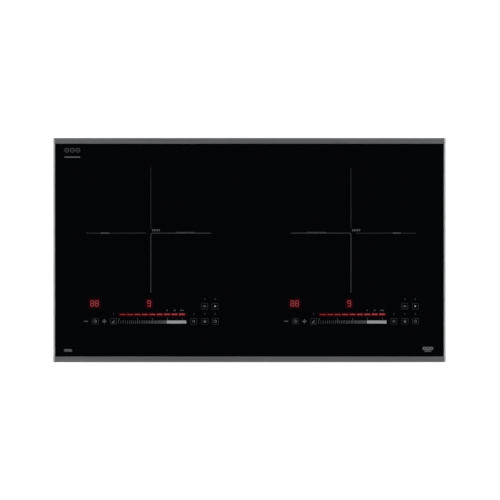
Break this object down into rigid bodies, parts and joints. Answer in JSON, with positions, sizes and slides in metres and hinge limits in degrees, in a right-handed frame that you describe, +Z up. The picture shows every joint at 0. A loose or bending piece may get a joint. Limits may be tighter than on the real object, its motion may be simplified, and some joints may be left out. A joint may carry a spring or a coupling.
{
  "type": "electric induction cooktop",
  "caption": "Built-in electric induction hob with black glass, metal edge trims, paired coils, touch controls, blowers, electronics and worktop clamps.",
  "frame": {"origin": "middle of the cooktop on the worktop plane, at the underside of the rim seal", "axes": "+X to the right along the long side, +Y to the rear, +Z up out of the worktop"},
  "size_m": [0.73, 0.4164, 0.059],
  "materials": {
    "ceramic_glass": "polished black glass ceramic",
    "trim_metal": "brushed, long grain",
    "side_trim_metal": "satin, with a rounded outer edge",
    "seal_foam": "closed-cell foam tape",
    "carrier_plastic": "glass-filled polyamide",
    "pan_steel": "galvanised sheet, spangled",
    "screw_steel": "zinc plated",
    "mica": "pressed mica paper",
    "litz_wire": "enamelled stranded copper",
    "holder_plastic": "moulded",
    "ferrite": "sintered",
    "sheet_aluminium": "rolled sheet",
    "spring_steel": "blue-grey strip",
    "white_plastic": "moulded",
    "tray_plastic": "moulded",
    "board": "solder-masked glass-epoxy",
    "black_epoxy": "moulded epoxy",
    "film_capacitor": "moulded box",
    "winding": "enamelled copper on a coated core",
    "fan_plastic": "moulded",
    "bush_bronze": "sintered bronze",
    "stator_steel": "stacked laminations",
    "contact_rubber": "conductive foam",
    "lead_insulation": "silicone sleeve",
    "ribbon_insulation": "flat cable"
  },
  "bodies": {
    "cooktop": {"base_pan": "pan_steel", "board_trays": "tray_plastic", "cable_gland": "carrier_plastic", "capacitors": "film_capacitor", "chokes": "winding", "clamp_nuts": "screw_steel", "coil_leads": "lead_insulation", "coil_springs": "spring_steel", "control_cables": "ribbon_insulation", "display_modules": "black_epoxy", "fan_bushes": "bush_bronze", "fan_covers": "fan_plastic", "fan_stators": "stator_steel", "ferrite_bars": "ferrite", "filter_board": "board", "front_trim": "trim_metal", "glass_carrier": "carrier_plastic", "glass_top": "ceramic_glass", "left_coil": "litz_wire", "left_coil_holder": "holder_plastic", "left_control_board": "board", "left_control_tray": "tray_plastic", "left_fan_housing": "fan_plastic", "left_heat_sink": "sheet_aluminium", "left_power_board": "board", "left_shield_plate": "sheet_aluminium", "left_trim": "side_trim_metal", "mains_wires": "lead_insulation", "mica_sheets": "mica", "pan_screws": "screw_steel", "power_switches": "black_epoxy", "rear_trim": "trim_metal", "right_coil": "litz_wire", "right_coil_holder": "holder_plastic", "right_control_board": "board", "right_control_tray": "tray_plastic", "right_fan_housing": "fan_plastic", "right_heat_sink": "sheet_aluminium", "right_power_board": "board", "right_shield_plate": "sheet_aluminium", "right_trim": "side_trim_metal", "temperature_sensors": "white_plastic", "terminal_block": "white_plastic", "terminal_box": "tray_plastic", "touch_contacts": "contact_rubber", "worktop_seal": "seal_foam"},
    "terminal_cover": {"terminal_cover": "tray_plastic"},
    "left_fan_rotor": {"left_impeller": "fan_plastic", "left_fan_shaft": "screw_steel"},
    "right_fan_rotor": {"right_impeller": "fan_plastic", "right_fan_shaft": "screw_steel"},
    "front_left_clamp_screw": {"front_left_clamp_screw": "screw_steel"},
    "front_left_clamp_arm": {"front_left_clamp_arm": "pan_steel"},
    "front_right_clamp_screw": {"front_right_clamp_screw": "screw_steel"},
    "front_right_clamp_arm": {"front_right_clamp_arm": "pan_steel"},
    "rear_left_clamp_screw": {"rear_left_clamp_screw": "screw_steel"},
    "rear_left_clamp_arm": {"rear_left_clamp_arm": "pan_steel"},
    "rear_right_clamp_screw": {"rear_right_clamp_screw": "screw_steel"},
    "rear_right_clamp_arm": {"rear_right_clamp_arm": "pan_steel"}
  },
  "joints": [
    {"name": "left_fan_spin", "type": "hinge", "parent": "cooktop", "child": "left_fan_rotor", "pos_m": [-0.0412, 0.074, -0.033], "axis": [0, 0, 1], "continuous": true},
    {"name": "right_fan_spin", "type": "hinge", "parent": "cooktop", "child": "right_fan_rotor", "pos_m": [0.0468, 0.074, -0.033], "axis": [0, 0, 1], "continuous": true},
    {"name": "terminal_cover_hinge", "type": "hinge", "parent": "cooktop", "child": "terminal_cover", "pos_m": [0.0028, 0.1805, -0.014], "axis": [1, 0, 0], "range_deg": [0, 90]},
    {"name": "front_left_clamp_draw", "type": "slide", "parent": "cooktop", "child": "front_left_clamp_screw", "axis": [0, 0, 1], "range_m": [0, 0.006]},
    {"name": "front_left_clamp_swing", "type": "hinge", "parent": "front_left_clamp_screw", "child": "front_left_clamp_arm", "pos_m": [-0.262, -0.174, -0.045], "axis": [0, 0, -1], "range_deg": [0, 90]},
    {"name": "front_right_clamp_draw", "type": "slide", "parent": "cooktop", "child": "front_right_clamp_screw", "axis": [0, 0, 1], "range_m": [0, 0.006]},
    {"name": "front_right_clamp_swing", "type": "hinge", "parent": "front_right_clamp_screw", "child": "front_right_clamp_arm", "pos_m": [0.262, -0.174, -0.045], "axis": [0, 0, 1], "range_deg": [0, 90]},
    {"name": "rear_left_clamp_draw", "type": "slide", "parent": "cooktop", "child": "rear_left_clamp_screw", "axis": [0, 0, 1], "range_m": [0, 0.006]},
    {"name": "rear_left_clamp_swing", "type": "hinge", "parent": "rear_left_clamp_screw", "child": "rear_left_clamp_arm", "pos_m": [-0.262, 0.174, -0.045], "axis": [0, 0, 1], "range_deg": [0, 90]},
    {"name": "rear_right_clamp_draw", "type": "slide", "parent": "cooktop", "child": "rear_right_clamp_screw", "axis": [0, 0, 1], "range_m": [0, 0.006]},
    {"name": "rear_right_clamp_swing", "type": "hinge", "parent": "rear_right_clamp_screw", "child": "rear_right_clamp_arm", "pos_m": [0.262, 0.174, -0.045], "axis": [0, 0, -1], "range_deg": [0, 90]}
  ]
}
